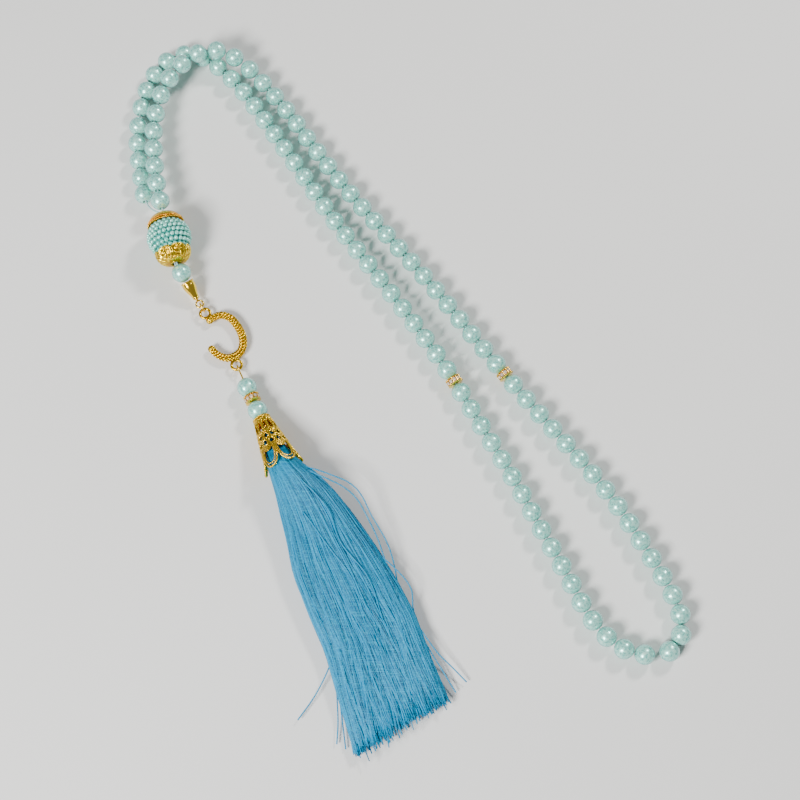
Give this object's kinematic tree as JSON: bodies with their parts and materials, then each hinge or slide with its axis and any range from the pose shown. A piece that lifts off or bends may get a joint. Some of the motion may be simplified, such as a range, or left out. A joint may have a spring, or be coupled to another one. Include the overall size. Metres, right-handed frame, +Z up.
{
  "type": "misbaha prayer beads",
  "caption": "Laid-out loop of threaded pearl beads with rhinestone rondelles, a seed-pearl leader bead, a gold scroll link, a filigree cap and a long silk tassel.",
  "frame": {"origin": "middle of the laid-out object on the surface it lies on", "axes": "+Z up, +Y along the long side towards the top of the loop"},
  "size_m": [0.2274, 0.3008, 0.0188],
  "materials": {
    "pearl": "pearlescent lacquer, soft gloss",
    "seed_pearl": "pearlescent lacquer, soft gloss",
    "thread": "twisted nylon thread",
    "core": "dyed matt core",
    "antique_gold": "gold plated, slightly worn satin",
    "bright_gold": "bright gold plated filigree",
    "filigree_gold": "gold plated filigree, soft shine",
    "polished_gold": "polished gold plate",
    "pebbled_gold": "gold plate with a pebbled surface",
    "rondelle_metal": "bright gold plate",
    "rhinestone": "cut crystal, clear",
    "silk": "glossy viscose silk threads",
    "silk_cord": "twisted silk cord"
  },
  "bodies": {
    "leader_bead": {"imame_core": "core", "imame_seed_pearls": "seed_pearl", "imame_top_cap": "antique_gold", "imame_bottom_cap": "bright_gold", "imame_thread": "thread"},
    "neck": {"neck_pearls": "pearl", "neck_thread_right": "thread", "neck_thread_left": "thread"},
    "crossing": {"crossing_pearls": "pearl", "crossing_thread_right": "thread", "crossing_thread_left": "thread"},
    "right_1": {"right_pearls_1": "pearl", "right_thread_1": "thread"},
    "right_2": {"right_pearls_2": "pearl", "right_thread_2": "thread"},
    "right_3": {"right_pearls_3": "pearl", "right_thread_3": "thread"},
    "right_4": {"right_pearls_4": "pearl", "right_thread_4": "thread"},
    "right_5": {"right_pearls_5": "pearl", "right_thread_5": "thread"},
    "right_6": {"right_pearls_6": "pearl", "right_thread_6": "thread"},
    "right_rondelle": {"right_rondelle_metal": "rondelle_metal", "right_rondelle_stones": "rhinestone"},
    "left_1": {"left_pearls_1": "pearl", "left_thread_1": "thread"},
    "left_2": {"left_pearls_2": "pearl", "left_thread_2": "thread"},
    "left_3": {"left_pearls_3": "pearl", "left_thread_3": "thread"},
    "left_4": {"left_pearls_4": "pearl", "left_thread_4": "thread"},
    "left_5": {"left_pearls_5": "pearl", "left_thread_5": "thread"},
    "left_6": {"left_pearls_6": "pearl", "left_thread_6": "thread"},
    "left_rondelle": {"left_rondelle_metal": "rondelle_metal", "left_rondelle_stones": "rhinestone"},
    "leader_pearl": {"leader_pearl": "pearl"},
    "bead_tip": {"bead_tip": "polished_gold", "thread_knot": "thread"},
    "jump_ring": {"jump_ring": "polished_gold"},
    "scroll_link": {"scroll_link": "pebbled_gold"},
    "eye_pin": {"eye_pin": "polished_gold", "tassel_loop": "silk_cord", "tassel_head": "silk", "tassel_binding": "silk_cord"},
    "pendant_upper_pearl": {"pendant_pearl_upper": "pearl"},
    "pendant_rondelle": {"pendant_rondelle_metal": "rondelle_metal", "pendant_rondelle_stones": "rhinestone"},
    "pendant_lower_pearl": {"pendant_pearl_lower": "pearl"},
    "tassel_cap": {"tassel_cap": "filigree_gold"},
    "tassel": {"tassel_skirt": "silk"}
  },
  "joints": [
    {"name": "neck_swing", "type": "hinge", "parent": "leader_bead", "child": "neck", "pos_m": [-0.0963, 0.0684, 0.00945], "axis": [0, 0, 1], "range_deg": [-8, 20]},
    {"name": "neck_bend", "type": "hinge", "parent": "neck", "child": "crossing", "pos_m": [-0.10518, 0.11748, 0.00611], "axis": [0, 0, 1], "range_deg": [-6, 6]},
    {"name": "right_1_bend", "type": "hinge", "parent": "crossing", "child": "right_1", "pos_m": [-0.04663, 0.1191, 0.00402], "axis": [0, 0, 1], "range_deg": [-8, 8]},
    {"name": "right_2_bend", "type": "hinge", "parent": "right_1", "child": "right_2", "pos_m": [-0.01879, 0.07972, 0.004], "axis": [0, 0, 1], "range_deg": [-2, 10]},
    {"name": "right_3_bend", "type": "hinge", "parent": "right_2", "child": "right_3", "pos_m": [0.01183, 0.04244, 0.004], "axis": [0, 0, 1], "range_deg": [-17.2, 3.5]},
    {"name": "right_4_bend", "type": "hinge", "parent": "right_3", "child": "right_4", "pos_m": [0.04095, 0.00398, 0.004], "axis": [0, 0, 1], "range_deg": [-1.4, 0.3]},
    {"name": "right_5_bend", "type": "hinge", "parent": "right_4", "child": "right_5", "pos_m": [0.07326, -0.03586, 0.004], "axis": [0, 0, 1], "range_deg": [-2.5, 12.5]},
    {"name": "right_6_bend", "type": "hinge", "parent": "right_5", "child": "right_6", "pos_m": [0.09987, -0.07599, 0.004], "axis": [0, 0, 1], "range_deg": [-1.7, 1.7]},
    {"name": "left_1_bend", "type": "hinge", "parent": "crossing", "child": "left_1", "pos_m": [-0.06041, 0.12109, 0.004], "axis": [0, 0, 1], "range_deg": [-8.2, 8.2]},
    {"name": "left_2_bend", "type": "hinge", "parent": "left_1", "child": "left_2", "pos_m": [-0.03408, 0.08067, 0.004], "axis": [0, 0, -1], "range_deg": [-2, 10]},
    {"name": "left_3_bend", "type": "hinge", "parent": "left_2", "child": "left_3", "pos_m": [-0.00638, 0.0412, 0.004], "axis": [0, 0, -1], "range_deg": [-12.8, 2.6]},
    {"name": "left_4_bend", "type": "hinge", "parent": "left_3", "child": "left_4", "pos_m": [0.02103, 0.00153, 0.004], "axis": [0, 0, -1], "range_deg": [-4.6, 1]},
    {"name": "left_5_bend", "type": "hinge", "parent": "left_4", "child": "left_5", "pos_m": [0.04637, -0.04308, 0.004], "axis": [0, 0, -1], "range_deg": [-1.5, 7.5]},
    {"name": "left_6_bend", "type": "hinge", "parent": "left_5", "child": "left_6", "pos_m": [0.06838, -0.086, 0.004], "axis": [0, 0, 1], "range_deg": [-4.5, 4.5]},
    {"name": "right_rondelle_spin", "type": "hinge", "parent": "right_4", "child": "right_rondelle", "pos_m": [0.04436, -0.00039, 0.004], "axis": [0.6159, -0.7878, 0], "continuous": true},
    {"name": "left_rondelle_spin", "type": "hinge", "parent": "left_4", "child": "left_rondelle", "pos_m": [0.02384, -0.00326, 0.004], "axis": [0.5057, -0.8627, 0], "continuous": true},
    {"name": "leader_pearl_spin", "type": "hinge", "parent": "leader_bead", "child": "leader_pearl", "pos_m": [-0.08759, 0.04222, 0.00779], "axis": [0.4959, -0.786, -0.3692], "continuous": true},
    {"name": "bead_tip_swing", "type": "hinge", "parent": "leader_bead", "child": "bead_tip", "pos_m": [-0.08759, 0.04222, 0.00779], "axis": [0, 0, 1], "range_deg": [-20, 3]},
    {"name": "jump_ring_swing", "type": "hinge", "parent": "bead_tip", "child": "jump_ring", "pos_m": [-0.08035, 0.03075, 0.0024], "axis": [0, 0, 1], "range_deg": [-15, 3]},
    {"name": "scroll_link_swing", "type": "hinge", "parent": "jump_ring", "child": "scroll_link", "pos_m": [-0.0779, 0.0265, 0.0024], "axis": [0, 0, 1], "range_deg": [-15, 3]},
    {"name": "eye_pin_swing", "type": "hinge", "parent": "scroll_link", "child": "eye_pin", "pos_m": [-0.0643, 0.0042, 0.0024], "axis": [0, 0, 1], "range_deg": [-20, 3]},
    {"name": "pendant_upper_pearl_spin", "type": "hinge", "parent": "eye_pin", "child": "pendant_upper_pearl", "pos_m": [-0.05961, -0.00594, 0.004], "axis": [0.4159, -0.9, 0.1305], "continuous": true},
    {"name": "pendant_rondelle_spin", "type": "hinge", "parent": "eye_pin", "child": "pendant_rondelle", "pos_m": [-0.05729, -0.01098, 0.00473], "axis": [0.4159, -0.9, 0.1305], "continuous": true},
    {"name": "pendant_lower_pearl_spin", "type": "hinge", "parent": "eye_pin", "child": "pendant_lower_pearl", "pos_m": [-0.05496, -0.01602, 0.00546], "axis": [0.4159, -0.9, 0.1305], "continuous": true},
    {"name": "tassel_cap_spin", "type": "hinge", "parent": "eye_pin", "child": "tassel_cap", "pos_m": [-0.04826, -0.03051, 0.00756], "axis": [0.4159, -0.9, 0.1305], "continuous": true},
    {"name": "tassel_sway", "type": "hinge", "parent": "eye_pin", "child": "tassel", "pos_m": [-0.04327, -0.04131, 0.00913], "axis": [0, 0, 1], "range_deg": [-15, 5]}
  ],
  "couplings": [
    {"joint": "left_1_bend", "follows": "right_1_bend", "ratio": 1.023},
    {"joint": "right_6_bend", "follows": "right_1_bend", "ratio": -0.202},
    {"joint": "left_6_bend", "follows": "right_1_bend", "ratio": -0.556},
    {"joint": "right_3_bend", "follows": "right_2_bend", "ratio": -1.715},
    {"joint": "right_4_bend", "follows": "right_2_bend", "ratio": -0.137},
    {"joint": "right_5_bend", "follows": "right_2_bend", "ratio": 1.242},
    {"joint": "left_3_bend", "follows": "left_2_bend", "ratio": -1.272},
    {"joint": "left_4_bend", "follows": "left_2_bend", "ratio": -0.452},
    {"joint": "left_5_bend", "follows": "left_2_bend", "ratio": 0.749}
  ]
}
